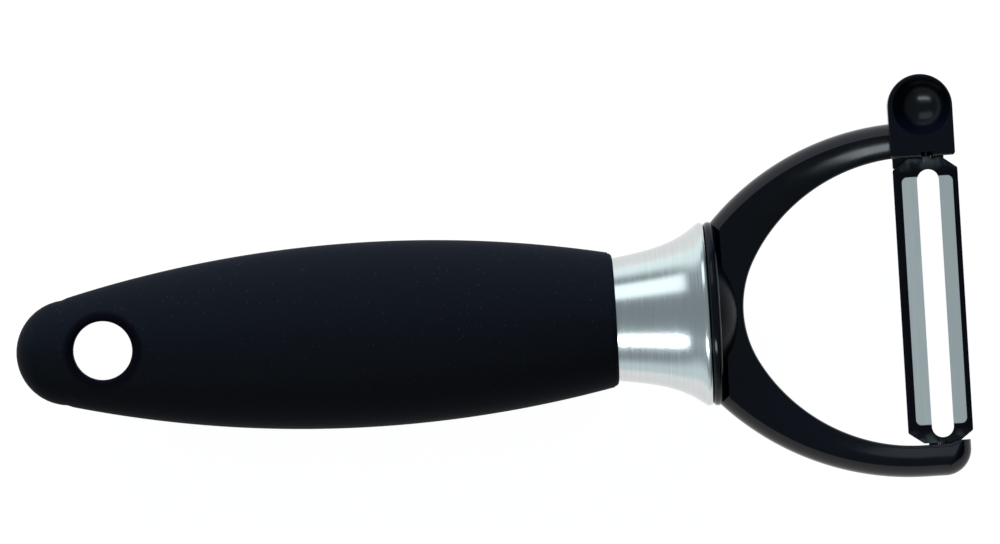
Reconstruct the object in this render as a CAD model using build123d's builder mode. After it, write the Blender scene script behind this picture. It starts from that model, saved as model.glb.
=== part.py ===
from build123d import *
from math import asin, cos, degrees, radians, sin, sqrt
import os

# A Y-shaped vegetable peeler, in millimetres, lying on its back.
# The origin is the middle of the hang hole, half way through the handle.
# +X runs along the handle to the blade, +Y to the arm with the gouger, and +Z out of the front.

# Grip: its outline from above (widths) and from the side (depths)
butt_reach = 15.6
butt_radius = 9.5
butt_edge_radius = 5.3
neck_reach = 8.0
belly_reach = 46.0
grip_reach = 92.4
neck_half_depth = 5.7
belly_half_width = 16.65
belly_half_depth = 11.0
front_half_width = 12.0
front_half_depth = 8.8
grip_lip_chamfer = 0.7
hole_radius = 5.3
hole_edge_chamfer = 1.4

# Core under the grip
grip_wall = 3.0
hole_lining = 1.3
eyelet_wall = 1.8
eyelet_half_length = 2.2
moulding_gap = 0.05
spigot_setback = 4.0
spigot_reach = 8.6
spigot_chamfer = 0.8

# Ferrule: a drawn sleeve with a straight tail under the grip and a flared mouth
sheet = 0.6
tail_length = 5.0
flare_setback = 1.9
mouth_reach = 16.7
neck_sleeve_half_width = 10.8
neck_sleeve_half_depth = 7.7
mouth_half_width = 16.5
mouth_half_depth = 11.0
sleeve_fit = 0.1
flare_linear_share = 0.45
flare_power = 4

# Yoke: flange, boss and tang
flange_thickness = 1.95
flange_half_width = 16.55
flange_half_depth = 11.1
flange_edge_chamfer = 0.6
boss_radius = 10.3
boss_height = 3.7
plug_depth = 2.4
tang_length = 47.0
tang_width = 12.6
tang_depth = 7.6
tang_corner_radius = 1.6
tang_lead = 1.0
tang_fit = 0.2
tang_end_gap = 0.6
barb_setback = 5.0
barb_length = 4.0
barb_height = 0.8
barb_width = 5.0

# Yoke: arms and the window between them
web_thickness = 4.45
root_inset = 0.55
arm_half_depth = 4.0
arm_edge_radius = 1.9
crown_reach = 35.4
upper_arm_width = 6.15
lower_arm_width = 5.55
window_half_height = 25.95
window_point_share = 1.93
lower_tip_reach = 5.05
lower_tip_radius = 4.8
lug_length = 5.2
lug_inset = 2.2
lug_height = 1.1

# Gouger head on the upper arm
head_offset = 0.75
head_half_width = 5.85
head_rise = 9.0
head_half_depth = 5.0
head_back_chamfer = 1.5
head_front_chamfer = 0.3
bowl_offset = 0.3
bowl_radius = 5.15
bowl_depth = 3.6

# Blade and its pivots
pivot_setback = 3.55
pivot_height = 1.1
pin_radius = 0.9
pin_reach = 3.4
pin_root = 0.8
pin_clearance = 0.08
pin_end_gap = 0.3
blade_end_gap = 0.3
blade_sheet = 0.8
arch_radius = 11.0
blade_rear_reach = 6.1
blade_front_reach = 5.6
shoulder_height = 1.95
shoulder_inset = 2.7
blade_corner_radius = 0.4
slot_half_width = 1.98
slot_offset = 0.12
slot_upper_margin = 2.05
slot_lower_margin = 0.95
facet_reach = 4.6
facet_margin = 3.3
facet_corner_radius = 1.0
facet_step = 0.08
facet_drop = 0.42
notch_width = 2.1
notch_height = 0.8
stop_angle = 18
stop_clearance = 0.2
pad_rear_reach = 5.9
pad_front_reach = 3.4
pad_height = 2.0

# How far cutting shapes run past what they cut
overrun = 2.0

# Places along the handle that several pieces share
butt_x = -butt_reach
tail_x = grip_reach - tail_length
flare_x = grip_reach - flare_setback
mouth_x = grip_reach + mouth_reach
flange_x = mouth_x + flange_thickness
window_x = flange_x + web_thickness
crown_x = flange_x + crown_reach
pivot_x = crown_x + pivot_setback
head_x = pivot_x - head_offset

# The grip's flanks are arcs, from above and from the side
neck_half_width = sqrt(butt_radius**2 - (neck_reach + butt_radius - butt_reach) ** 2)
flank = ThreePointArc(
    (-neck_reach, neck_half_width), (belly_reach, belly_half_width), (grip_reach, front_half_width)
)
side = ThreePointArc(
    (-neck_reach, neck_half_depth), (belly_reach, belly_half_depth), (grip_reach, front_half_depth)
)
butt_angles = (6, 18, 32, 48, 66, 90)
flank_shares = (0.16, 0.27, 0.38, 0.5, 0.64, 0.78, 0.9, 1)
core_shares = (0, 0.5, 1)
flare_shares = (0, 0.2, 0.4, 0.6, 0.75, 0.88, 1)

# Ovals across the handle. Round the butt they are drawn in arcs, of which the widest hold the hang hole.
# Further along they have straight sides, of which one faces the front and one the back.
butt_turns = (-45, -15, 15, 45, 135, 165, 195, 225, 315)
oval_sides = 36
oval_turns = [360 / oval_sides * (corner + 0.5) for corner in range(oval_sides + 1)]
core_sides = 12
core_turns = [360 / core_sides * (corner + 0.5) for corner in range(core_sides + 1)]


def handle_half_size(arc, end_radius, x):
    # Half the grip's width or depth at x: the flank's arc, rounded off at the butt
    size = arc.arc_center.Y + sqrt(arc.radius**2 - (x - arc.arc_center.X) ** 2)
    from_centre = butt_x + end_radius - x
    if from_centre > 0:
        size = min(size, sqrt(end_radius**2 - from_centre**2))
    return size


def oval_corners(half_width, half_depth, turns):
    # Corners of an oval with straight sides
    return [(half_width * cos(radians(turn)), half_depth * sin(radians(turn))) for turn in turns[1:]]


def oval_form(sections, turns, curved_sections=0):
    # A solid with straight lines from each oval to the next, the first few of which have curved sides
    with BuildPart() as form:
        for place, (x, half_width, half_depth) in enumerate(sections):
            with BuildSketch(Plane.YZ.offset(x)):
                with BuildLine():
                    if place < curved_sections:
                        for first, last in zip(turns, turns[1:]):
                            EllipticalCenterArc((0, 0), half_width, half_depth, first, arc_size=last - first)
                    else:
                        Polyline(*oval_corners(half_width, half_depth, turns), close=True)
                make_face()
        loft(ruled=True)
    return form.part


def flare_half_sizes(x, inset):
    # Half width and half depth of the ferrule's flare at x
    along = (x - flare_x) / (mouth_x - flare_x)
    share = flare_linear_share * along + (1 - flare_linear_share) * along**flare_power
    half_width = neck_sleeve_half_width + (mouth_half_width - neck_sleeve_half_width) * share
    half_depth = neck_sleeve_half_depth + (mouth_half_depth - neck_sleeve_half_depth) * share
    return half_width - inset, half_depth - inset


def sleeve_form(inset):
    # The ferrule's outer shape, or the space inside it
    sections = [(tail_x, neck_sleeve_half_width - inset, neck_sleeve_half_depth - inset)]
    for share in flare_shares:
        x = flare_x + (mouth_x - flare_x) * share
        sections.append((x, *flare_half_sizes(x, inset)))
    return oval_form(sections, oval_turns)


# The core fills the grip but for the wall, and its spigot fills the ferrule's tail
eyelet_inner = hole_radius + hole_lining
eyelet_outer = eyelet_inner + eyelet_wall
spigot_x = tail_x - spigot_setback
core_stations = [(spigot_x - hole_radius) * share + hole_radius for share in core_shares]
spigot_half_width = neck_sleeve_half_width - sheet - sleeve_fit
spigot_half_depth = neck_sleeve_half_depth - sheet - sleeve_fit


def core_bar(inset):
    # A many-sided bar whose corners keep a constant distance inside the grip's surface
    sections = []
    for x in core_stations:
        half_width = handle_half_size(flank, butt_radius, x) - inset
        half_depth = handle_half_size(side, butt_edge_radius, x) - inset
        sections.append((x, half_width, half_depth))
    return oval_form(sections, core_turns)


def core_form(margin):
    # The core's outer shape, grown by a margin for the cavity that the grip has round it
    with BuildPart() as form:
        with BuildSketch(Plane.XY):
            Circle(eyelet_outer + margin)
        extrude(amount=eyelet_half_length + margin, both=True)
        add(core_bar(grip_wall - margin))
        with BuildSketch(Plane.XY):
            Circle(eyelet_inner - margin)
        extrude(amount=belly_half_depth, both=True, mode=Mode.SUBTRACT)
        with BuildSketch(Plane.YZ.offset(spigot_x - margin)):
            Ellipse(spigot_half_width + margin, spigot_half_depth + margin)
        extrude(amount=grip_reach + spigot_reach - spigot_x + margin)
    return form.part


core_body = core_form(0)
core_cavity = core_form(moulding_gap)
sleeve_outside = sleeve_form(0)
sleeve_inside = sleeve_form(sheet)
sleeve_recess = sleeve_form(-moulding_gap)
butt_centre = butt_x + butt_radius
lip_x = grip_reach - grip_lip_chamfer
butt_stations = [butt_x + butt_radius * (1 - cos(radians(angle))) for angle in butt_angles]
flank_stations = [butt_centre + (lip_x - butt_centre) * share for share in flank_shares]


def grip_sections(stations):
    # Places and half sizes of the grip's ovals
    sections = []
    for x in stations:
        sections.append((x, handle_half_size(flank, butt_radius, x), handle_half_size(side, butt_edge_radius, x)))
    return sections


# Soft grip
lip = (grip_reach, front_half_width - grip_lip_chamfer, front_half_depth - grip_lip_chamfer)
with BuildPart() as grip:
    add(oval_form(grip_sections(butt_stations + flank_stations[:1]), butt_turns, len(butt_stations) + 1))
    add(oval_form(grip_sections(flank_stations) + [lip], oval_turns, 1))
    with BuildSketch(Plane.XY):
        Circle(hole_radius)
    extrude(amount=belly_half_depth, both=True, mode=Mode.SUBTRACT)
    hole_wall = grip.faces().filter_by(GeomType.CYLINDER)
    chamfer(hole_wall.edges().filter_by(GeomType.LINE, reverse=True), hole_edge_chamfer)
    add(core_cavity, mode=Mode.SUBTRACT)
    add(sleeve_recess, mode=Mode.SUBTRACT)
grip.part.label = "grip"

# Where the tang's socket ends and its barbs catch
tang_x = mouth_x - tang_length
socket_x = tang_x - tang_end_gap
barb_x = tang_x + barb_setback
core_front_x = grip_reach + spigot_reach

# Stiff core: eyelet, body and spigot in one, with a long socket for the tang
with BuildPart() as handle_core:
    add(core_body)
    chamfer(handle_core.faces().sort_by(Axis.X)[-1].edges(), spigot_chamfer)
    with BuildSketch(Plane.YZ.offset(core_front_x)):
        RectangleRounded(tang_width + 2 * tang_fit, tang_depth + 2 * tang_fit, tang_corner_radius)
    extrude(amount=socket_x - core_front_x, mode=Mode.SUBTRACT)
    with BuildSketch(Plane.XY):
        with Locations((barb_x + barb_length / 2, 0)):
            Rectangle(barb_length + 2 * tang_fit, tang_width + 2 * barb_height + 2 * tang_fit)
    extrude(amount=barb_width / 2 + tang_fit, both=True, mode=Mode.SUBTRACT)
handle_core.part.label = "handle_core"

# Drawn steel ferrule
with BuildPart() as ferrule:
    add(sleeve_outside)
    add(sleeve_inside, mode=Mode.SUBTRACT)
ferrule.part.label = "ferrule"

# The window between the arms: an arc over the web, and an arc along each arm that meets it smoothly.
# The deeper the window is than half its height, the more pointed it gets at the web.
window_depth = crown_x - window_x
window_mean = (window_depth + window_half_height) / 2
window_web_radius = window_mean - window_point_share * (window_depth - window_half_height)
web_to_crown = window_depth - window_web_radius
arm_inner_radius = (web_to_crown**2 + window_half_height**2 - window_web_radius**2) / (
    2 * (window_half_height - window_web_radius)
)
meeting_share = arm_inner_radius / (arm_inner_radius - window_web_radius)
meeting_x = crown_x - web_to_crown * meeting_share
meeting_y = (window_half_height - arm_inner_radius) * (1 - meeting_share)
root_x = mouth_x + flange_thickness / 2
root_half_width = flange_half_width - root_inset
upper_crown = window_half_height + upper_arm_width
lower_crown = window_half_height + lower_arm_width
lower_tip_x = pivot_x + lower_tip_reach

# Both arms and the web between them, with their front and back edges rounded
with BuildPart() as arms:
    with BuildSketch(Plane.XY):
        with BuildLine():
            TangentArc((crown_x, upper_crown), (root_x, root_half_width), tangent=(-1, 0))
            Line((root_x, root_half_width), (root_x, -root_half_width))
            TangentArc((crown_x, -lower_crown), (root_x, -root_half_width), tangent=(-1, 0))
            Line((crown_x, -lower_crown), (lower_tip_x, -lower_crown))
            Line((lower_tip_x, -lower_crown), (lower_tip_x, -window_half_height))
            Line((lower_tip_x, -window_half_height), (crown_x, -window_half_height))
            TangentArc((crown_x, -window_half_height), (meeting_x, -meeting_y), tangent=(-1, 0))
            ThreePointArc((meeting_x, -meeting_y), (window_x, 0), (meeting_x, meeting_y))
            TangentArc((crown_x, window_half_height), (meeting_x, meeting_y), tangent=(-1, 0))
            Line((crown_x, window_half_height), (crown_x, upper_crown))
        outline = make_face()
        lower_tip = outline.vertices().group_by(Axis.X)[-1].sort_by(Axis.Y)[0]
        fillet(lower_tip, lower_tip_radius)
    extrude(amount=arm_half_depth, both=True)
    fillet(arms.faces().filter_by(Axis.Z).edges(), arm_edge_radius)

# The head that carries the gouger, before its bowl is cut
head_dome_y = window_half_height + head_rise
head_left_x = head_x - head_half_width
head_right_x = head_x + head_half_width
with BuildPart() as gouger_head:
    with BuildSketch(Plane.XY):
        with BuildLine():
            Line((head_left_x, head_dome_y), (head_left_x, window_half_height))
            Line((head_left_x, window_half_height), (head_right_x, window_half_height))
            Line((head_right_x, window_half_height), (head_right_x, head_dome_y))
            TangentArc((head_right_x, head_dome_y), (head_left_x, head_dome_y), tangent=(0, 1))
        make_face()
    extrude(amount=head_half_depth, both=True)
    chamfer(gouger_head.faces().sort_by(Axis.Z)[0].edges(), head_back_chamfer)
    chamfer(gouger_head.faces().sort_by(Axis.Z)[-1].edges(), head_front_chamfer)

# The stop pads stand behind the blade's ends, just clear of its rear edge at the end of its swing
arch_z = pivot_height + blade_sheet / 2 - arch_radius
inner_arch_radius = arch_radius - blade_sheet
rear_angle = asin(blade_rear_reach / arch_radius)
front_angle = asin(blade_front_reach / arch_radius)
edge_reach = inner_arch_radius * sin(rear_angle)
edge_drop = pivot_height - arch_z - inner_arch_radius * cos(rear_angle)
swing = radians(stop_angle)
pad_z = pivot_height - edge_reach * sin(swing) - edge_drop * cos(swing) - stop_clearance
pad_depth = arm_half_depth + pad_z
bowl_sphere_radius = (bowl_radius**2 + bowl_depth**2) / (2 * bowl_depth)
bowl_sphere_z = head_half_depth - bowl_depth + bowl_sphere_radius
socket_depth = pin_reach - blade_end_gap + pin_end_gap
upper_pad_x = pivot_x + (pad_front_reach - pad_rear_reach) / 2

# Yoke: tang, flange, boss, arms and gouger head in one moulding
with BuildPart() as yoke:
    with BuildSketch(Plane.YZ.offset(tang_x)):
        RectangleRounded(tang_width, tang_depth, tang_corner_radius)
    extrude(amount=mouth_x - tang_x)
    chamfer(yoke.faces().sort_by(Axis.X)[0].edges(), tang_lead)
    with BuildSketch(Plane.XY):
        with BuildLine():
            Polyline(
                (barb_x, 0),
                (barb_x, tang_width / 2),
                (barb_x + barb_length, tang_width / 2 + barb_height),
                (barb_x + barb_length, 0),
                close=True,
            )
        make_face()
        mirror(about=Plane.XZ)
    extrude(amount=barb_width / 2, both=True)
    for x in (mouth_x - plug_depth, mouth_x):
        with BuildSketch(Plane.YZ.offset(x)):
            Polygon(*oval_corners(*flare_half_sizes(x, sheet + sleeve_fit), oval_turns), align=None)
    loft(ruled=True)
    with BuildSketch(Plane.YZ.offset(mouth_x)):
        Polygon(*oval_corners(flange_half_width, flange_half_depth, oval_turns), align=None)
    extrude(amount=flange_thickness)
    chamfer(yoke.faces().sort_by(Axis.X)[-1].edges(), flange_edge_chamfer)
    with BuildSketch(Plane.XY):
        with BuildLine():
            Polyline((flange_x, boss_radius), (root_x, boss_radius), (root_x, 0), (flange_x + boss_height, 0))
            TangentArc((flange_x + boss_height, 0), (flange_x, boss_radius), tangent=(0, 1))
        make_face()
    revolve(axis=Axis.X)
    add(arms.part)
    add(gouger_head.part)
    with Locations((head_x + bowl_offset, head_dome_y, bowl_sphere_z)):
        Sphere(bowl_sphere_radius, mode=Mode.SUBTRACT)
    with BuildSketch(Plane.XY.offset(pad_z)):
        with Locations((upper_pad_x, window_half_height)):
            Rectangle(pad_rear_reach + pad_front_reach, 2 * pad_height)
        with Locations((lower_tip_x - lug_inset - lug_length / 2, -window_half_height)):
            Rectangle(lug_length, 2 * lug_height)
    extrude(amount=-pad_depth)
    with BuildSketch(Plane.XY.offset(pivot_height)):
        with Locations((pivot_x, window_half_height)):
            Rectangle(notch_width, 2 * notch_height)
    extrude(amount=head_half_depth, mode=Mode.SUBTRACT)
    for end in (-1, 1):
        mouth = Plane((pivot_x, end * window_half_height, pivot_height), z_dir=(0, -end, 0))
        with Locations(mouth):
            Hole(pin_radius + pin_clearance, depth=socket_depth)
yoke.part.label = "yoke"

# Blade: an arched steel strip with a slot, two ground facets beside it and a rolled pivot at each end
blade_half_length = window_half_height - blade_end_gap
shoulder_y = blade_half_length - shoulder_height
slot_length = 2 * blade_half_length - slot_upper_margin - slot_lower_margin
slot_y = (slot_lower_margin - slot_upper_margin) / 2
facet_half_length = blade_half_length - facet_margin
blade_rear_x = pivot_x - blade_rear_reach
blade_front_x = pivot_x + blade_front_reach


def arch_top(x):
    # Height of the blade's front surface at a distance from the pivot's line
    return arch_z + sqrt(arch_radius**2 - x**2)


with BuildPart() as blade:
    with BuildSketch(Plane.XZ):
        with BuildLine():
            turn = degrees(rear_angle + front_angle)
            first = degrees(radians(90) - front_angle)
            outer = CenterArc((pivot_x, arch_z), arch_radius, first, turn)
            inner = CenterArc((pivot_x, arch_z), inner_arch_radius, first, turn)
            Line(outer @ 0, inner @ 0)
            Line(outer @ 1, inner @ 1)
        make_face()
    extrude(amount=blade_half_length, both=True)
    with BuildSketch(Plane.XY.offset(pivot_height)):
        with BuildLine():
            Polyline(
                (blade_rear_x, 0),
                (blade_rear_x, shoulder_y),
                (blade_rear_x + shoulder_inset, blade_half_length),
                (blade_front_x - shoulder_inset, blade_half_length),
                (blade_front_x, shoulder_y),
                (blade_front_x, 0),
            )
            mirror(about=Plane.XZ)
        strip = make_face()
        fillet(strip.vertices(), blade_corner_radius)
    extrude(amount=arch_radius, both=True, mode=Mode.INTERSECT)
    with BuildSketch(Plane.XY.offset(pivot_height)):
        with Locations((pivot_x + slot_offset, slot_y)):
            SlotOverall(slot_length, 2 * slot_half_width, rotation=90)
    extrude(amount=arch_radius, both=True, mode=Mode.SUBTRACT)
    for side_sign in (-1, 1):
        low = Vector(side_sign * facet_reach, 0, arch_top(facet_reach) - facet_step)
        high = Vector(side_sign * slot_half_width, 0, arch_top(slot_half_width) - facet_drop)
        run = high - low
        facet_width = run.length + slot_half_width / 2
        ground = Plane(low + Vector(pivot_x, 0, 0), x_dir=run, z_dir=Vector(-run.Z, 0, run.X) * -side_sign)
        with BuildSketch(ground):
            with Locations((facet_width / 2, 0)):
                facet = Rectangle(facet_width, 2 * facet_half_length)
            fillet(facet.vertices().group_by(Axis.X)[0], facet_corner_radius)
        extrude(amount=overrun, mode=Mode.SUBTRACT)
    for end in (-1, 1):
        root = Plane((pivot_x, end * (blade_half_length - pin_root), pivot_height), z_dir=(0, end, 0))
        with BuildSketch(root):
            Circle(pin_radius)
        extrude(amount=pin_root + pin_reach)
blade.part.label = "blade"

# One STEP file for each piece
os.makedirs("parts", exist_ok=True)
for piece in (grip, handle_core, ferrule, yoke, blade):
    export_step(piece.part, f"parts/{piece.part.label}.step")
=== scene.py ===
from math import atan2, copysign, cos, hypot, pi, radians, sin, sqrt, tan

import bmesh
import bpy
from mathutils import Euler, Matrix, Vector


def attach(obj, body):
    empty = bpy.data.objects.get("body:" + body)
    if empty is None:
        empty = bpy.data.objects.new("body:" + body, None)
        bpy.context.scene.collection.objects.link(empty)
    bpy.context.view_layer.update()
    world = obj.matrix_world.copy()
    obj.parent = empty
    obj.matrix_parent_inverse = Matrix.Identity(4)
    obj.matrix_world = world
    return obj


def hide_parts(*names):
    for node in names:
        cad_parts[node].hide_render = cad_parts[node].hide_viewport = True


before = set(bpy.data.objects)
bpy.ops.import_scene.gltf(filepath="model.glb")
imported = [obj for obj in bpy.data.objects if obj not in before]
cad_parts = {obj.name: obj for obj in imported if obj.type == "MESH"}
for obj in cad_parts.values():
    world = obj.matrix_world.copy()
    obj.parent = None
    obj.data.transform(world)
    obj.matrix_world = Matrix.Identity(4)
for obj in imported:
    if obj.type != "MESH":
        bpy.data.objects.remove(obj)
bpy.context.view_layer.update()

# Sizes are in millimetres, as in the part's source, and points become metres when a mesh is made.
# The origin is the middle of the hang hole. +X runs to the blade, +Y to the gouger, +Z out of the front.
mm = 0.001

# Grip
butt_reach = 15.55
butt_radius = 9.5
butt_edge_radius = 5.3
neck_reach = 8.0
neck_half_depth = 5.7
belly_reach = 46.0
belly_half_width = 16.65
belly_half_depth = 11.0
grip_reach = 92.4
front_half_width = 12.0
front_half_depth = 8.8
lip_radius = 0.8
hole_radius = 5.3
hole_round = 1.9
patch_reach = 14.0
recess_depth = 5.1
recess_gap = 0.06

# Ferrule
sheet = 0.6
tail_length = 5.0
flare_setback = 1.9
mouth_reach = 16.7
neck_half_width = 10.8
sleeve_half_depth = 7.7
mouth_half_width = 16.5
mouth_half_depth = 11.0
flare_linear_share = 0.45
flare_power = 4
rim_length = 0.65
rim_depth = 0.4
rim_turn = radians(37)

# Yoke: flange, boss and tang
flange_thickness = 1.95
flange_half_width = 16.55
flange_half_depth = 11.1
flange_rear_round = 0.85
flange_front_round = 1.05
plug_depth = 2.4
plug_fit = 0.1
boss_radius = 10.3
boss_height = 3.7
boss_sink = 0.8
tang_length = 47.0
tang_width = 12.6
tang_depth = 7.6
tang_round = 1.0

# Yoke: arms
web_thickness = 4.45
root_half_width = 16.0
arm_half_depth = 4.0
crown_reach = 35.4
window_half_height = 25.95
window_web_radius = 18.8
upper_arm_width = 6.3
lower_arm_width = 5.7
tip_setback = 5.05
tip_radius = 4.8
ledge_height = 0.6
ledge_start = 4.2
ledge_slope_length = 2.2
inner_corner = 0.6
outer_flank = 2.0
tip_flank = 3.4
steep_slope = 0.388
ridge_slope = 0.14

# Yoke: gouger head, stop pad, lug and the places of the pins
pivot_setback = 3.55
pivot_height = 1.1
head_offset = 0.75
head_half_width = 5.85
head_rise = 9.0
head_half_depth = 5.0
head_corner = 0.6
head_back_round = 1.4
head_draft = 0.25
head_front_round = 0.25
bowl_offset = 0.3
bowl_radius = 5.15
bowl_depth = 3.6
rim_round = 0.12
pad_rear_reach = 5.9
pad_front_reach = 3.4
pad_height = 2.0
pad_top = -2.86
pad_round = 0.3
lug_length = 5.2
lug_inset = 2.2
lug_height = 1.1
notch_width = 2.1
notch_height = 0.8
socket_radius = 0.98
socket_depth = 3.4

# Blade: where its ground facets are, the least that they face up, and where the painted reflections by the
# rolled ends begin
facet_inner_reach = 1.9
facet_outer_reach = 4.65
facet_half_length = 22.45
facet_lean = 0.97
reflection_start = 23.2
reflection_full = 25.5

# Radii between which the painted shade on the hang hole's rounded edge fades out
hole_shade_start = 6.6
hole_shade_end = 7.4

# How many points go round and along things
oval_points = 96
hole_rings = 26
outline_points = 64
body_stations = 44
circle_points = 40
arm_stations = 120
round_steps = 6

# Aids to meshing. The least width stands in at the butt's very end, and the merge distance is in metres
least_half_width = 0.001
merge_distance = 1e-7
sharp_angle = radians(34)
blade_sharp_angle = radians(8)
slope_step = 0.05

# Colours, as shares of red, green and blue
rubber_color = 0.0032, 0.0039, 0.0064
speck_color = 0.026, 0.03, 0.037
# Painted shade for the hang hole's rounded edge
hole_shade_color = 0.001, 0.001, 0.003
gloss_color = 0.0005, 0.001, 0.003
sleeve_color = 0.6, 0.63, 0.64
sleeve_dark_color = 0.58, 0.595, 0.595
sleeve_light_color = 0.64, 0.655, 0.655
coating_color = 0.012, 0.012, 0.018
# Painted reflection on the blade by its rolled ends
end_reflection_color = 0.13, 0.15, 0.155
ground_color = 0.98, 0.98, 0.96
core_color = 0.03, 0.03, 0.033
floor_color = 0.05, 0.05, 0.05

# Where the photograph was taken from: far above the handle, turned and leaning a little, in metres
view_centre = 72.2 * mm, 9.8 * mm
view_turn = radians(-3.47)
view_lean = radians(-1.3)
view_distance = 2.5
view_width = 0.18
sensor_width = 36

# Floor that glows, so that it stays white and nearly free of shadow, in metres
floor_z = -flange_half_depth * mm
floor_size = 6
floor_glow = 0.97

# Lights: two softboxes that show in gloss and steel and a low one that lights the rubber. Each spans two
# angles from straight above, on the -Y or the +Y side
light_distance = 1
glow_color = (0.88, 1, 1.04)
near_box = {"side": -1, "angles": (25, 34.2), "middle": -0.085, "reach": 0.83, "glow": 12}
far_box = {"side": 1, "angles": (27, 50), "middle": -0.13, "reach": 0.9, "glow": 1.5}
low_box = {"side": 1, "angles": (58, 82), "middle": 0.07, "reach": 1.2, "glow": 18}

# Room: a grey ceiling and light walls, but for the dark one ahead of the blade. The walls' top and foot are
# heights on a sphere of radius 1, and the dark wall starts and is full at shares of the way ahead
ceiling_color = (0.265, 0.32, 0.345)
near_wall_color = (0.72, 0.85, 0.88)
far_wall_color = (1.15, 1.35, 1.37)
dark_wall_color = (0.05, 0.06, 0.07)
wall_top = 0.52
wall_foot = 0.3
dark_start = 0.1
dark_full = 0.6

# Places along the handle
grip_x = grip_reach
tail_x = grip_reach - tail_length
flare_x = grip_reach - flare_setback
mouth_x = grip_reach + mouth_reach
rim_x = mouth_x - rim_length * (1 + sin(rim_turn))
flange_x = mouth_x + flange_thickness
window_x = flange_x + web_thickness
crown_x = flange_x + crown_reach
pivot_x = crown_x + pivot_setback
head_x = pivot_x - head_offset
root_x = mouth_x + flange_thickness / 2
tip_x = pivot_x + tip_setback


def circle_through(a, b, c):
    # Centre and radius of the circle through three points in a plane
    ax, ay = b[0] - a[0], b[1] - a[1]
    bx, by = c[0] - a[0], c[1] - a[1]
    across = 2 * (ax * by - ay * bx)
    x = (by * (ax * ax + ay * ay) - ay * (bx * bx + by * by)) / across
    y = (ax * (bx * bx + by * by) - bx * (ax * ax + ay * ay)) / across
    return a[0] + x, a[1] + y, hypot(x, y)


neck_half = sqrt(butt_radius**2 - (neck_reach + butt_radius - butt_reach) ** 2)
flank = circle_through(
    (-neck_reach, neck_half), (belly_reach, belly_half_width), (grip_x, front_half_width)
)
side = circle_through(
    (-neck_reach, neck_half_depth), (belly_reach, belly_half_depth), (grip_x, front_half_depth)
)


def handle_half_size(arc, end_radius, x):
    # Half the grip's width or depth at x: the flank's arc, rounded off at the butt
    centre_x, centre_y, radius = arc
    size = centre_y + sqrt(radius**2 - (x - centre_x) ** 2)
    from_centre = end_radius - butt_reach - x
    if from_centre > 0:
        size = min(size, sqrt(max(0, end_radius**2 - from_centre**2)))
    return size


def half_width(x):
    return handle_half_size(flank, butt_radius, x)


def half_depth(x):
    return handle_half_size(side, butt_edge_radius, x)


def front_height(x, y):
    # Height of the grip's front surface
    across = y / max(half_width(x), least_half_width)
    return half_depth(x) * sqrt(max(0, 1 - across * across))


def bridge(rings, closed=False, capped=True):
    # Quads between rings of as many points each, and a face over each open end
    count = len(rings[0])
    points = [point for ring in rings for point in ring]
    faces = []
    for ring in range(len(rings) if closed else len(rings) - 1):
        first = ring * count
        second = (ring + 1) % len(rings) * count
        for k in range(count):
            after = (k + 1) % count
            faces.append((first + k, first + after, second + after, second + k))
    if capped and not closed:
        faces.append(tuple(range(count)))
        faces.append(tuple(range((len(rings) - 1) * count, len(rings) * count)))
    return points, faces


def new_object(name, points, faces):
    # An object of one mesh, with its faces turned outwards
    mesh = bpy.data.meshes.new(name)
    mesh.from_pydata([Vector(point) * mm for point in points], [], faces)
    shape = bmesh.new()
    shape.from_mesh(mesh)
    bmesh.ops.remove_doubles(shape, verts=shape.verts, dist=merge_distance)
    bmesh.ops.recalc_face_normals(shape, faces=shape.faces)
    shape.to_mesh(mesh)
    shape.free()
    made = bpy.data.objects.new(name, mesh)
    bpy.context.scene.collection.objects.link(made)
    return made


def combine(target, other, operation):
    # Adds another solid to an object, or cuts it away, and drops the other
    modifier = target.modifiers.new("combine", "BOOLEAN")
    modifier.operation = operation
    modifier.solver = "EXACT"
    modifier.object = other
    depsgraph = bpy.context.evaluated_depsgraph_get()
    mesh = bpy.data.meshes.new_from_object(target.evaluated_get(depsgraph))
    target.modifiers.clear()
    target.data = mesh
    bpy.data.objects.remove(other)


def finish_piece(made, material, body, slot, *nodes):
    # Smooth shading, material and the place in the frame
    made.data.materials.clear()
    made.data.materials.append(material)
    made.data.polygons.foreach_set("use_smooth", [True] * len(made.data.polygons))
    made.data.set_sharp_from_angle(angle=sharp_angle)
    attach(made, body)
    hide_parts(*nodes)


def oval(x, wide, deep):
    # An oval across the handle, from +Y over the front
    turns = [2 * pi * k / oval_points for k in range(oval_points)]
    return [(x, wide * cos(turn), deep * sin(turn)) for turn in turns]


def round_over(x, wide, deep, radius, ahead):
    # Ovals that round off an edge at x, from the wall to the face
    rings = []
    for step in range(round_steps + 1):
        turn = pi / 2 * step / round_steps
        inward = radius * (1 - cos(turn))
        rings.append(oval(x - ahead * radius * (1 - sin(turn)), wide - inward, deep - inward))
    return rings


def patch_rays():
    # Where the plan of the grip's butt ends, from +Y along the front of the patch and round the butt
    half = oval_points // 2
    across = half_width(patch_reach)
    ends = [(patch_reach, across * cos(pi * k / half)) for k in range(half)]
    for k in range(outline_points):
        share = 1 - 2 * k / outline_points
        x = (patch_reach + butt_reach) * (1 - cos(pi / 2 * share)) - butt_reach
        ends.append((x, -copysign(half_width(x), share)))
    return ends


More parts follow.
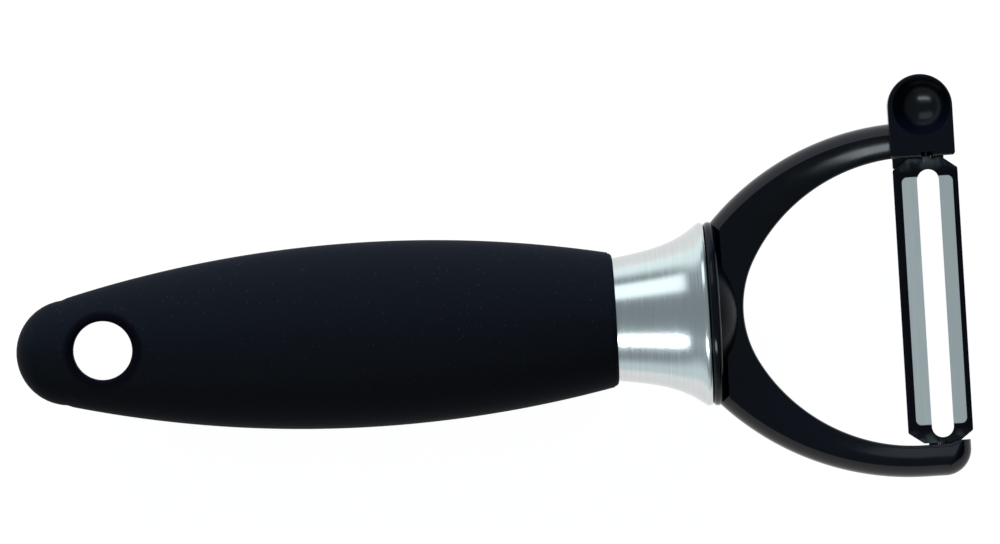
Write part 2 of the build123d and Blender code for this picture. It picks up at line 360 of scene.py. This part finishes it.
def hole_profile(ray):
    # Points of one ray on the front, from the middle of the hole's wall over its rounded edge to the end
    # of the patch
    reach = hypot(*ray)
    along_x, along_y = ray[0] / reach, ray[1] / reach
    start = hole_radius + hole_round
    height = front_height(start * along_x, start * along_y)
    ahead = start + slope_step
    slope = (front_height(ahead * along_x, ahead * along_y) - height) / slope_step
    corner = height - slope * hole_round
    foot = corner - hole_round
    profile = [(hole_radius, foot * step / round_steps) for step in range(round_steps)]
    for step in range(2 * round_steps):
        share = step / (2 * round_steps)
        distance = hole_radius + hole_round * share * share
        z = foot * (1 - share) ** 2 + corner * 2 * share * (1 - share) + height * share * share
        profile.append((distance, z))
    points = [(distance * along_x, distance * along_y, z) for distance, z in profile]
    for ring in range(hole_rings + 1):
        distance = start + (reach - start) * sin(pi / 2 * ring / hole_rings)
        x, y = distance * along_x, distance * along_y
        points.append((x, y, front_height(x, y) if ring < hole_rings else patch_height(ray)))
    return points


def patch_height(ray):
    # The patch ends on the oval at its front, or at mid height round the butt
    return front_height(*ray) if ray[0] == patch_reach else 0


def grip_piece(material):
    # Rubber grip: the butt with its hole, the long flanks, the lip and the recess for the ferrule
    rays = patch_rays()
    profiles = [hole_profile(ray) for ray in rays]
    fronts = [list(ring) for ring in zip(*profiles)]
    backs = [[(x, y, -z) for x, y, z in ring] for ring in fronts[1:]]
    points, faces = bridge(backs[::-1] + fronts, capped=False)
    rings = []
    for station in range(body_stations + 1):
        x = patch_reach + (grip_x - lip_radius - patch_reach) * station / body_stations
        rings.append(oval(x, half_width(x), half_depth(x)))
    rings += round_over(grip_x, half_width(grip_x), half_depth(grip_x), lip_radius, 1)
    recess = neck_half_width + recess_gap, sleeve_half_depth + recess_gap
    rings.append(oval(grip_x, *recess))
    rings.append(oval(grip_x - recess_depth, *recess))
    more_points, more_faces = bridge(rings, capped=False)
    first = len(points)
    faces += [tuple(first + index for index in face) for face in more_faces]
    last_ring = first + len(more_points) - oval_points
    faces.append(tuple(range(last_ring, last_ring + oval_points)))
    made = new_object("grip_skin", points + more_points, faces)
    finish_piece(made, material, "handle", "grip", "grip")


def flare_half_sizes(x, inset):
    # Half width and half depth of the ferrule's flare at x
    along = min(1, max(0, (x - flare_x) / (rim_x - flare_x)))
    share = flare_linear_share * along + (1 - flare_linear_share) * along**flare_power
    wide = neck_half_width + (mouth_half_width - neck_half_width) * share
    deep = sleeve_half_depth + (mouth_half_depth - sleeve_half_depth) * share
    return wide - inset, deep - inset


def ferrule_piece(material):
    # Steel sleeve: its outside, its mouth with a rounded edge, and its inside
    stations = [tail_x + (flare_x - tail_x) * step / round_steps for step in range(round_steps)]
    count = 3 * round_steps
    stations += [flare_x + (rim_x - flare_x) * step / count for step in range(count)]
    outside = [oval(x, *flare_half_sizes(x, 0)) for x in stations]
    edge = []
    for step in range(2 * round_steps + 1):
        turn = (rim_turn + pi / 2) * step / (2 * round_steps) - rim_turn
        x = mouth_x - rim_length * (1 - sin(turn))
        edge.append(oval(x, *flare_half_sizes(mouth_x, rim_depth * (1 - cos(turn)))))
    inside = [oval(mouth_x, *flare_half_sizes(mouth_x, sheet))]
    inside += [oval(x, *flare_half_sizes(x, sheet)) for x in reversed(stations)]
    points, faces = bridge(outside + edge + inside, closed=True)
    made = new_object("ferrule_sleeve", points, faces)
    finish_piece(made, material, "handle", "ferrule", "ferrule")


def flange_object():
    # Oval plate over the ferrule's mouth, with the plug behind it
    rings = [oval(mouth_x - plug_depth, *flare_half_sizes(mouth_x - plug_depth, sheet + plug_fit))]
    rings.append(oval(mouth_x, *flare_half_sizes(mouth_x, sheet + plug_fit)))
    rings += round_over(mouth_x, flange_half_width, flange_half_depth, flange_rear_round, -1)[::-1]
    rings += round_over(flange_x, flange_half_width, flange_half_depth, flange_front_round, 1)
    return new_object("yoke_moulding", *bridge(rings))


def boss_object():
    # Domed boss in front of the flange
    radius = (boss_radius**2 + boss_height**2) / (2 * boss_height)
    widest = atan2(boss_radius, radius - boss_height)
    rings = [oval(flange_x - boss_sink, boss_radius, boss_radius)]
    for step in range(2 * round_steps):
        turn = widest * (1 - step / (2 * round_steps))
        reach = radius * sin(turn)
        rings.append(oval(flange_x + boss_height - radius * (1 - cos(turn)), reach, reach))
    return new_object("boss", *bridge(rings))


def box_object(name, low, high, radius):
    # Block with rounded edges
    shape = bmesh.new()
    bmesh.ops.create_cube(shape, size=1)
    for vertex in shape.verts:
        vertex.co = Vector(
            [a + (b - a) * (share + 0.5) for a, b, share in zip(low, high, vertex.co)]
        ) * mm
    if radius:
        segments = round_steps // 2
        bmesh.ops.bevel(
            shape, geom=shape.edges, offset=radius * mm, segments=segments, profile=0.5, affect="EDGES"
        )
    mesh = bpy.data.meshes.new(name)
    shape.to_mesh(mesh)
    shape.free()
    made = bpy.data.objects.new(name, mesh)
    bpy.context.scene.collection.objects.link(made)
    return made


def distance_to_circle(direction, centre, radius):
    # How far a ray from the origin goes before it leaves a circle round it
    along = direction[0] * centre[0] + direction[1] * centre[1]
    return along + sqrt(along * along - centre[0] ** 2 - centre[1] ** 2 + radius**2)


def arm_section_ends():
    # Plan points on the window's edge and on the outer edge, from the head round the web to the lower tip
    depth = crown_x - window_x
    to_web = depth - window_web_radius
    inner_radius = (to_web**2 + window_half_height**2 - window_web_radius**2) / (
        2 * (window_half_height - window_web_radius)
    )
    meeting = meeting_share(depth, inner_radius)
    to_root = crown_x - root_x
    ends = []
    for step in range(round_steps):
        x = head_x + (crown_x - head_x) * step / round_steps
        ends.append(((x, window_half_height), (x, window_half_height + upper_arm_width)))
    for station in range(arm_stations + 1):
        turn = pi * station / arm_stations
        direction = -sin(turn), cos(turn)
        up = copysign(1, direction[1])
        crown = window_half_height + (upper_arm_width if up > 0 else lower_arm_width)
        outer_radius = (to_root**2 + (crown - root_half_width) ** 2) / (2 * (crown - root_half_width))
        if abs(direction[1]) > meeting:
            centre = 0, up * (window_half_height - inner_radius)
            inner = distance_to_circle(direction, centre, inner_radius)
        else:
            inner = distance_to_circle(direction, (-to_web, 0), window_web_radius)
        outer = distance_to_circle(direction, (0, up * (crown - outer_radius)), outer_radius)
        if direction[0] < 0:
            outer = min(outer, -to_root / direction[0])
        inner_end = crown_x + inner * direction[0], inner * direction[1]
        ends.append((inner_end, (crown_x + outer * direction[0], outer * direction[1])))
    return ends + tip_section_ends()


def meeting_share(depth, inner_radius):
    # How much a ray to the meeting of the window's two arcs points up
    share = inner_radius / (inner_radius - window_web_radius)
    x = (depth - window_web_radius) * share
    y = (window_half_height - inner_radius) * (1 - share)
    return y / hypot(x, y)


def tip_section_ends():
    # The straight run of the lower arm and then its round tip
    crown = -window_half_height - lower_arm_width
    centre_x, centre_y = tip_x - tip_radius, crown + tip_radius
    ends = []
    for step in range(1, round_steps + 1):
        x = crown_x + (centre_x - crown_x) * step / round_steps
        ends.append(((x, -window_half_height), (x, crown)))
    count = 5 * round_steps
    for step in range(1, count + 1):
        turn = pi / 2 * step / count
        x = centre_x + tip_radius * sin(turn)
        ends.append(((x, -window_half_height), (x, centre_y - tip_radius * cos(turn))))
    return ends


def section_height(distance, width):
    # How far an arm's front lies below its ridge, at a distance from the window: a rounded corner, a face
    # that leans towards the window, and from the ridge on a long round flank
    face = width - inner_corner - outer_flank
    drop = face * (steep_slope + ridge_slope) / 2
    if distance < inner_corner:
        lean = atan2(steep_slope, 1)
        radius = inner_corner / (1 - sin(lean))
        across = sin(lean) + (inner_corner - distance) / radius
        return radius * (sqrt(1 - across * across) - cos(lean)) - drop
    if distance < inner_corner + face:
        back = 1 - (distance - inner_corner) / face
        return -face * (ridge_slope * back + (steep_slope - ridge_slope) * back * back / 2)
    along = (distance - inner_corner - face) / outer_flank
    return arm_half_depth * (sqrt(1 - along) - 1)


def section_distances(width):
    # Where a section's points lie, from the window's side: close together where it is round
    count = 2 * round_steps
    ridge = width - outer_flank
    corner = [inner_corner * step * step / (count * count) for step in range(count)]
    face = [inner_corner + (ridge - inner_corner) * step / count for step in range(count)]
    return corner + face + [ridge + outer_flank * sin(pi / 2 * step / count) for step in range(count)]


def tip_height(x, y):
    # How high the round end of the lower arm lets its face stand
    crown = -window_half_height - lower_arm_width
    centre_x, centre_y = tip_x - tip_radius, crown + tip_radius
    inside, flank = tip_flank, tip_flank
    if y > centre_y:
        inside = tip_x - x
    elif x > centre_x:
        reach = hypot(x - centre_x, y - centre_y)
        inside = tip_radius - reach
        flank = outer_flank + (tip_flank - outer_flank) * ((x - centre_x) / reach) ** 2
    return arm_half_depth * sqrt(min(1, max(0, inside / flank)))


def ledge_rise(x, distance):
    # How far the tip's corner stands up beside the blade's end
    share = min(1, max(0, (x - tip_x + ledge_start) / ledge_slope_length))
    return ledge_height * share * share * (3 - 2 * share) * max(0, 1 - distance / inner_corner)


def arm_ring(inner, outer):
    # Closed section between two plan points, the same in front and behind
    width = hypot(outer[0] - inner[0], outer[1] - inner[1])
    across = (outer[0] - inner[0]) / width, (outer[1] - inner[1]) / width
    full = max(width, lower_arm_width)
    front = []
    for place in section_distances(full):
        distance = place * width / full
        x, y = inner[0] + distance * across[0], inner[1] + distance * across[1]
        height = min(arm_half_depth + section_height(distance, full), tip_height(x, y))
        front.append((x, y + ledge_rise(x, distance), height))
    back = [(x, y, -z) for x, y, z in reversed(front)]
    return front + [(*outer, 0)] + back


def arms_object():
    # Both arms and the web in one band
    return new_object("arms", *bridge([arm_ring(inner, outer) for inner, outer in arm_section_ends()]))


def head_outline(inset, z):
    # The gouger head's outline, a set distance inside its edge
    left, right = head_x - head_half_width + inset, head_x + head_half_width - inset
    bottom = window_half_height + inset
    dome_y = window_half_height + head_rise
    points = []
    for step in range(outline_points + 1):
        turn = pi * step / outline_points
        reach = head_half_width - inset
        points.append((head_x + reach * cos(turn), dome_y + reach * sin(turn)))
    wall = [step / (2 * round_steps) for step in range(1, 2 * round_steps)]
    points += [(left, dome_y + (bottom + head_corner - dome_y) * share) for share in wall]
    for step in range(round_steps + 1):
        turn = pi / 2 * step / round_steps
        points.append((left + head_corner * (1 - cos(turn)), bottom + head_corner * (1 - sin(turn))))
    points += [(left + head_corner + (right - left - 2 * head_corner) * share, bottom) for share in wall]
    for step in range(round_steps + 1):
        turn = pi / 2 * step / round_steps
        points.append((right - head_corner * (1 - sin(turn)), bottom + head_corner * (1 - cos(turn))))
    points += [(right, bottom + head_corner + (dome_y - bottom - head_corner) * share) for share in wall]
    return [(x, y, z) for x, y in points]


def bowl_ring(radius, z):
    # A circle in the bowl whose points face the outline's
    centre_x, centre_y = head_x + bowl_offset, window_half_height + head_rise
    ring = []
    for x, y, _ in head_outline(0, 0):
        share = radius / hypot(x - centre_x, y - centre_y)
        ring.append((centre_x + share * (x - centre_x), centre_y + share * (y - centre_y), z))
    return ring


def head_object():
    # Gouger head: rounded back, wall with a little draft, thin rim and the bowl
    rings = []
    for step in range(round_steps + 1):
        turn = pi / 2 * step / round_steps
        inset = head_draft + head_back_round * (1 - sin(turn))
        rings.append(head_outline(inset, -head_half_depth + head_back_round * (1 - cos(turn))))
    for step in range(round_steps + 1):
        turn = pi / 2 * step / round_steps
        inset = head_front_round * (1 - cos(turn))
        rings.append(head_outline(inset, head_half_depth - head_front_round * (1 - sin(turn))))
    sphere_radius = (bowl_radius**2 + bowl_depth**2) / (2 * bowl_depth)
    widest = atan2(bowl_radius, sphere_radius - bowl_depth)
    rings.append(bowl_ring(bowl_radius + rim_round, head_half_depth))
    for step in range(3 * round_steps):
        turn = widest * (1 - step / (3 * round_steps))
        depth = bowl_depth - sphere_radius * (1 - cos(turn))
        sink = rim_round if step == 0 else 0
        rings.append(bowl_ring(sphere_radius * sin(turn), head_half_depth - depth - sink))
    return new_object("head", *bridge(rings))


def tang_object():
    # Tang that runs back through the ferrule into the core
    low = mouth_x - tang_length, -tang_width / 2, -tang_depth / 2
    high = mouth_x - plug_depth / 2, tang_width / 2, tang_depth / 2
    return box_object("tang", low, high, tang_round)


def stop_objects():
    # Pads behind the blade's ends that stop its swing, flush with the arms' backs
    upper = box_object(
        "upper_stop",
        (pivot_x - pad_rear_reach, window_half_height - pad_height, -arm_half_depth),
        (pivot_x + pad_front_reach, window_half_height + pad_height, pad_top),
        pad_round,
    )
    lower = box_object(
        "lower_stop",
        (tip_x - lug_inset - lug_length, -window_half_height - lug_height, -arm_half_depth),
        (tip_x - lug_inset, -window_half_height + lug_height, pad_top),
        pad_round,
    )
    return upper, lower


def socket_object(name, end):
    # Cutter for the hole that a pivot turns in
    rings = []
    for y in (end * (window_half_height - notch_height), end * (window_half_height + socket_depth)):
        ring = []
        for k in range(circle_points):
            turn = 2 * pi * k / circle_points
            ring.append((pivot_x + socket_radius * cos(turn), y, pivot_height + socket_radius * sin(turn)))
        rings.append(ring)
    return new_object(name, *bridge(rings))


def on_bowl(x, y):
    # Whether a plan point lies within the bowl's rim
    return hypot(x - head_x - bowl_offset, y - window_half_height - head_rise) < bowl_radius + rim_round


def on_boss(x, y, z):
    # Whether a point lies on the boss, in front of the flange and clear of the web
    return flange_x < x < flange_x + boss_height and hypot(y, z) < boss_radius and abs(z) > arm_half_depth


def yoke_piece():
    # Gloss black moulding: flange, boss, arms, gouger head, stops and tang in one
    made = flange_object()
    for other in (boss_object(), tang_object(), arms_object(), head_object(), *stop_objects()):
        combine(made, other, "UNION")
    low = pivot_x - notch_width / 2, window_half_height - notch_height, pivot_height
    high = pivot_x + notch_width / 2, window_half_height + notch_height, 2 * head_half_depth
    combine(made, box_object("notch", low, high, 0), "DIFFERENCE")
    combine(made, socket_object("upper_socket", 1), "DIFFERENCE")
    combine(made, socket_object("lower_socket", -1), "DIFFERENCE")
    gloss = gloss_material("yoke_gloss", level=0.2, roughness=0.1)
    finish_piece(made, gloss, "handle", "yoke", "yoke")
    made.data.materials.append(gloss_material("yoke_boss_satin", level=0.04, roughness=0.3))
    made.data.materials.append(gloss_material("yoke_bowl_satin", level=0.25, roughness=0.2))
    boss_finish, bowl_finish = 1, 2
    for face in made.data.polygons:
        x, y, z = face.center / mm
        if on_boss(x, y, z):
            face.material_index = boss_finish
        if z < head_half_depth - rim_round / 2 and face.normal.z > 0 and on_bowl(x, y):
            face.material_index = bowl_finish


def node_material(name, base_color, roughness, metallic):
    # A material with its main values set, and its tree
    material = bpy.data.materials.new(name)
    material.use_nodes = True
    tree = material.node_tree
    shader = tree.nodes["Principled BSDF"]
    shader.inputs["Base Color"].default_value = (*base_color, 1)
    shader.inputs["Roughness"].default_value = roughness
    shader.inputs["Metallic"].default_value = metallic
    return material, tree, shader


def object_place(tree):
    # Coordinates in the frame, in metres
    return tree.nodes.new("ShaderNodeTexCoord").outputs["Object"]


def split(tree, place):
    # The X, Y and Z of a place
    node = tree.nodes.new("ShaderNodeSeparateXYZ")
    tree.links.new(place, node.inputs["Vector"])
    return node.outputs


def calculated(tree, operation, *values):
    # One arithmetic operation on a value, or on two
    node = tree.nodes.new("ShaderNodeMath")
    node.operation = operation
    for value, socket in zip(values, node.inputs):
        tree.links.new(value, socket)
    return node.outputs["Value"]


def noise(tree, scale, detail=3, stretch=(1, 1, 1)):
    # Noise in the frame's own coordinates, with its scale in waves to the metre
    mapping = tree.nodes.new("ShaderNodeMapping")
    mapping.inputs["Scale"].default_value = stretch
    texture = tree.nodes.new("ShaderNodeTexNoise")
    texture.inputs["Scale"].default_value = scale
    texture.inputs["Detail"].default_value = detail
    tree.links.new(object_place(tree), mapping.inputs["Vector"])
    tree.links.new(mapping.outputs["Vector"], texture.inputs["Vector"])
    return texture.outputs["Fac"]


def ranged(tree, value, low, high, start=0, end=1):
    # A value that runs from low to high while another runs from start to end
    node = tree.nodes.new("ShaderNodeMapRange")
    node.inputs["From Min"].default_value = start
    node.inputs["From Max"].default_value = end
    node.inputs["To Min"].default_value = low
    node.inputs["To Max"].default_value = high
    tree.links.new(value, node.inputs["Value"])
    return node.outputs["Result"]


def blended(tree, share, first, second):
    # A colour between two, each of them values or the output of a node
    node = tree.nodes.new("ShaderNodeMix")
    node.data_type = "RGBA"
    for color, name in ((first, "A"), (second, "B")):
        if isinstance(color, tuple):
            node.inputs[name].default_value = (*color, 1)
        else:
            tree.links.new(color, node.inputs[name])
    tree.links.new(share, node.inputs["Factor"])
    return node.outputs["Result"]


def roughened(tree, shader, value, low, high, start=0, end=1):
    # Roughness that follows a value
    tree.links.new(ranged(tree, value, low, high, start, end), shader.inputs["Roughness"])


def bumped(tree, shader, height, strength, distance):
    # Bump from a height
    node = tree.nodes.new("ShaderNodeBump")
    node.inputs["Strength"].default_value = strength
    node.inputs["Distance"].default_value = distance
    tree.links.new(height, node.inputs["Height"])
    tree.links.new(node.outputs["Normal"], shader.inputs["Normal"])


def specks(tree, scale, start, end):
    # 1 on sparse specks of dust and 0 between them, falling off from start to end as shares of a cell
    cells = tree.nodes.new("ShaderNodeTexVoronoi")
    cells.inputs["Scale"].default_value = scale
    tree.links.new(object_place(tree), cells.inputs["Vector"])
    return ranged(tree, cells.outputs["Distance"], 1, 0, start, end)


def painted_hole_shade(tree):
    # Painted shade: 1 on the hang hole's rounded edge, which turns inward, and 0 on the rubber round it
    flat = tree.nodes.new("ShaderNodeMapping")
    flat.inputs["Scale"].default_value = (1, 1, 0)
    tree.links.new(object_place(tree), flat.inputs["Vector"])
    reach = tree.nodes.new("ShaderNodeVectorMath")
    reach.operation = "LENGTH"
    tree.links.new(flat.outputs["Vector"], reach.inputs[0])
    return ranged(
        tree, reach.outputs["Value"], low=1, high=0, start=hole_shade_start * mm, end=hole_shade_end * mm
    )


def rubber_material():
    # Matt soft-touch rubber with a fine grain and sparse dust, and painted shade that makes it nearly black
    # on the hang hole's edge
    material, tree, shader = node_material("grip_rubber", rubber_color, roughness=0.6, metallic=0)
    shader.inputs["Specular IOR Level"].default_value = 0.03
    dust = specks(tree, scale=900, start=0.05, end=0.09)
    dusty = blended(tree, dust, rubber_color, speck_color)
    # Painted shade darkens the rubber on the hang hole's edge
    tree.links.new(blended(tree, painted_hole_shade(tree), dusty, hole_shade_color), shader.inputs["Base Color"])
    grain = noise(tree, scale=3500)
    roughened(tree, shader, grain, low=0.54, high=0.68)
    bumped(tree, shader, grain, strength=0.25, distance=0.00008)
    return material


def gloss_material(name, level, roughness):
    # Black plastic with faint handling marks, which are a little rougher
    material, tree, shader = node_material(name, gloss_color, roughness, metallic=0)
    shader.inputs["Specular IOR Level"].default_value = level
    marks = noise(tree, scale=260, detail=5)
    roughened(tree, shader, marks, low=roughness, high=roughness + 0.05, start=0.35, end=0.7)
    bumped(tree, shader, noise(tree, scale=90, detail=1), strength=0.05, distance=0.0002)
    return material


def sleeve_material():
    # Steel brushed round the sleeve, so its fine lines run across the handle
    material, tree, shader = node_material("ferrule_brushed", sleeve_color, roughness=0.2, metallic=1)
    lines = noise(tree, scale=100, detail=4, stretch=(60, 1, 1))
    roughened(tree, shader, lines, low=0.17, high=0.22, start=0.3, end=0.7)
    tone = ranged(tree, lines, low=0, high=1, start=0.3, end=0.7)
    tree.links.new(blended(tree, tone, sleeve_dark_color, sleeve_light_color), shader.inputs["Base Color"])
    bumped(tree, shader, lines, strength=0.03, distance=0.00005)
    return material


def blade_material():
    # Dark polished steel, with patches of painted reflection by the rolled ends
    material, tree, shader = node_material("blade_dark", coating_color, roughness=0.15, metallic=1)
    from_middle = calculated(tree, "ABSOLUTE", split(tree, object_place(tree))["Y"])
    # Painted reflection: lighter patches towards the rolled ends, where the blade curves round
    by_end = ranged(tree, from_middle, low=0, high=1, start=reflection_start * mm, end=reflection_full * mm)
    reflection_spread = ranged(tree, noise(tree, scale=420, detail=1), low=0.15, high=1, start=0.45, end=0.6)
    painted_reflection = calculated(tree, "MULTIPLY", by_end, reflection_spread)
    tree.links.new(blended(tree, painted_reflection, coating_color, end_reflection_color), shader.inputs["Base Color"])
    marks = noise(tree, scale=500, detail=4, stretch=(1, 0.2, 1))
    roughened(tree, shader, marks, low=0.1, high=0.24, start=0.3, end=0.7)
    return material


def facet_material():
    # Bare ground steel of the facets
    material, tree, shader = node_material("blade_ground", ground_color, roughness=0.2, metallic=1)
    lines = noise(tree, scale=120, detail=4, stretch=(20, 1, 20))
    roughened(tree, shader, lines, low=0.17, high=0.22, start=0.3, end=0.7)
    return material


def core_material():
    # Moulded black plastic of the core under the grip
    material, tree, shader = node_material("core_moulded", core_color, roughness=0.5, metallic=0)
    grain = noise(tree, scale=1500)
    roughened(tree, shader, grain, low=0.42, high=0.6)
    bumped(tree, shader, grain, strength=0.1, distance=0.00005)
    return material


def dress_node(name, *materials):
    # New materials for a node that stays the frame's own
    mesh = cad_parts[name].data
    mesh.materials.clear()
    for material in materials:
        mesh.materials.append(material)
    return mesh


def dress_blade():
    # Dark, with its two ground facets bare
    mesh = dress_node("blade", blade_material(), facet_material())
    facet_finish = 1
    for face in mesh.polygons:
        x, y = abs(face.center.x / mm - pivot_x), abs(face.center.y / mm)
        ground = facet_inner_reach < x < facet_outer_reach and y < facet_half_length
        if ground and facet_lean < face.normal.z < 1:
            face.material_index = facet_finish
    mesh.polygons.foreach_set("use_smooth", [True] * len(mesh.polygons))
    mesh.set_sharp_from_angle(angle=blade_sharp_angle)


def make_camera():
    # The photograph's view
    data = bpy.data.cameras.new("camera")
    data.sensor_width = sensor_width
    data.lens = sensor_width * view_distance / view_width
    camera = bpy.data.objects.new("camera", data)
    turn = Euler((0, view_lean, view_turn))
    camera.rotation_euler = turn
    camera.location = Vector((*view_centre, 0)) + turn.to_matrix() @ Vector((0, 0, view_distance))
    bpy.context.scene.collection.objects.link(camera)
    bpy.context.scene.camera = camera


def make_floor():
    # White table
    half = floor_size / 2
    corners = [(-half, -half), (half, -half), (half, half), (-half, half)]
    mesh = bpy.data.meshes.new("floor")
    mesh.from_pydata([(x, y, floor_z) for x, y in corners], [], [(0, 1, 2, 3)])
    floor = bpy.data.objects.new("floor", mesh)
    bpy.context.scene.collection.objects.link(floor)
    material, _, shader = node_material("floor_white", floor_color, roughness=0.9, metallic=0)
    shader.inputs["Emission Color"].default_value = (1, 1, 1, 1)
    shader.inputs["Emission Strength"].default_value = floor_glow
    mesh.materials.append(material)


def make_softbox(name, side, angles, middle, reach, glow):
    # A soft light that faces the origin from its -Y or +Y side. Its power follows from its glow and area
    low, high = radians(angles[0]), radians(angles[1])
    tilt = (low + high) / 2
    width = 2 * light_distance * tan((high - low) / 2)
    data = bpy.data.lights.new(name, "AREA")
    data.shape = "RECTANGLE"
    data.size, data.size_y = reach, width
    data.energy = glow * pi * reach * width
    data.color = glow_color
    light = bpy.data.objects.new(name, data)
    light.location = (middle, side * light_distance * sin(tilt), light_distance * cos(tilt))
    light.rotation_euler = (side * -tilt, 0, 0)
    bpy.context.scene.collection.objects.link(light)
    return light


def make_room():
    # Ceiling and walls of one gradient, lightest on the +Y side
    world = bpy.data.worlds.new("room")
    world.use_nodes = True
    tree = world.node_tree
    parts = split(tree, tree.nodes.new("ShaderNodeTexCoord").outputs["Generated"])
    across = ranged(tree, parts["Y"], low=0, high=1, start=-1, end=1)
    ahead = ranged(tree, parts["X"], low=0, high=1, start=dark_start, end=dark_full)
    low_down = ranged(tree, parts["Z"], low=1, high=0, start=wall_foot, end=wall_top)
    walls = blended(tree, across, near_wall_color, far_wall_color)
    walls = blended(tree, ahead, walls, dark_wall_color)
    room = blended(tree, low_down, ceiling_color, walls)
    tree.links.new(room, tree.nodes["Background"].inputs["Color"])
    bpy.context.scene.world = world


def make_light():
    # Two softboxes that show only in reflections, a low light that never does, and the room
    for light in (make_softbox("near_softbox", **near_box), make_softbox("far_softbox", **far_box)):
        light.visible_diffuse = False
    make_softbox("low_softbox", **low_box).visible_glossy = False
    make_room()
    bpy.context.scene.view_settings.view_transform = "Standard"


make_camera()
make_floor()
make_light()
grip_piece(rubber_material())
ferrule_piece(sleeve_material())
yoke_piece()
dress_blade()
dress_node("handle_core", core_material())
